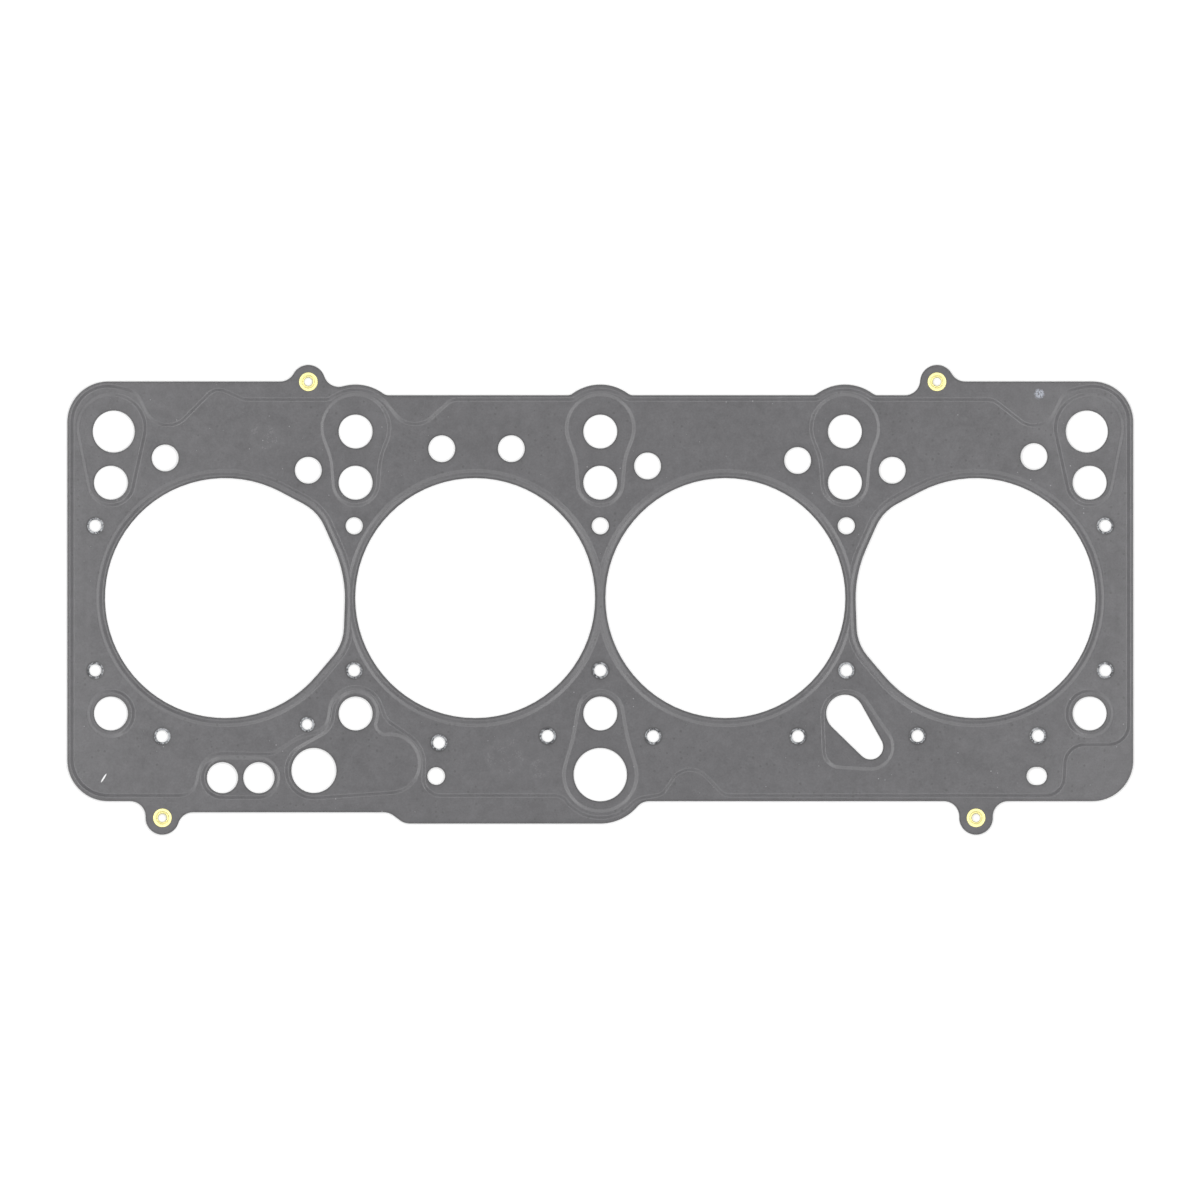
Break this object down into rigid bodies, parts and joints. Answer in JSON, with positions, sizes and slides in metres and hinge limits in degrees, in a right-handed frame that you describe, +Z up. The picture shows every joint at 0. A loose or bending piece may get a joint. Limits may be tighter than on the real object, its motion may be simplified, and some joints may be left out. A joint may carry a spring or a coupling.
{
  "type": "cylinder head gasket",
  "caption": "Flat layered steel gasket that seals a cylinder head to its block: grey beaded sheets with a row of cylinder openings, bolt holes, fluid passages and lugs with brass eyelets",
  "frame": {"origin": "middle of the cylinder row and of the rectangle of the four end bolt holes, on the lowest plane, which lies on the block", "axes": "+X along the cylinder row, +Y across it towards the edge with the breather holes, +Z up towards the cylinder head"},
  "size_m": [0.3834, 0.1689, 0.0016],
  "materials": {
    "coated_steel": "satin grey coat on spring steel",
    "bare_steel": "bare rolled",
    "brass": "plain pressed"
  },
  "bodies": {
    "root": {"upper_sheet": "coated_steel", "lower_sheet": "coated_steel", "core_sheet": "bare_steel", "eyelets": "brass"}
  },
  "joints": []
}
